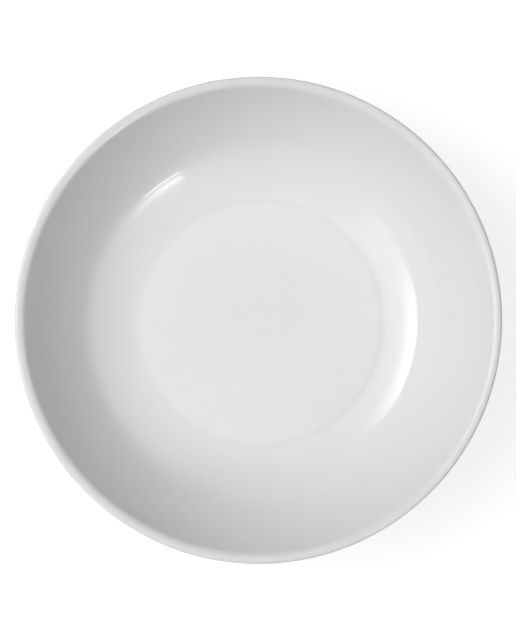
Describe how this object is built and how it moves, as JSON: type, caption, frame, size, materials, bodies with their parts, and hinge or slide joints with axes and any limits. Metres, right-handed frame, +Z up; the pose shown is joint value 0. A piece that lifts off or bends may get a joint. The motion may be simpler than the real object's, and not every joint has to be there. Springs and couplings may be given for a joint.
{
  "type": "serving bowl",
  "caption": "Round, low porcelain serving bowl with a broad flat floor, a curved flaring wall, a softly rounded lip and a low foot ring under it.",
  "frame": {"origin": "on the bowl's axis, in the plane of the foot ring's standing face", "axes": "+Z up along the bowl's axis; the bowl is round, so +X and +Y are any two square directions across it"},
  "size_m": [0.26, 0.26, 0.06],
  "materials": {
    "fired_porcelain": "matt, fine-grained unglazed porcelain",
    "clear_glaze": "gloss, smooth clear glaze over white porcelain"
  },
  "bodies": {
    "root": {"porcelain_body": "fired_porcelain", "glaze_coat": "clear_glaze", "foot_recess_glaze": "clear_glaze"}
  },
  "joints": []
}
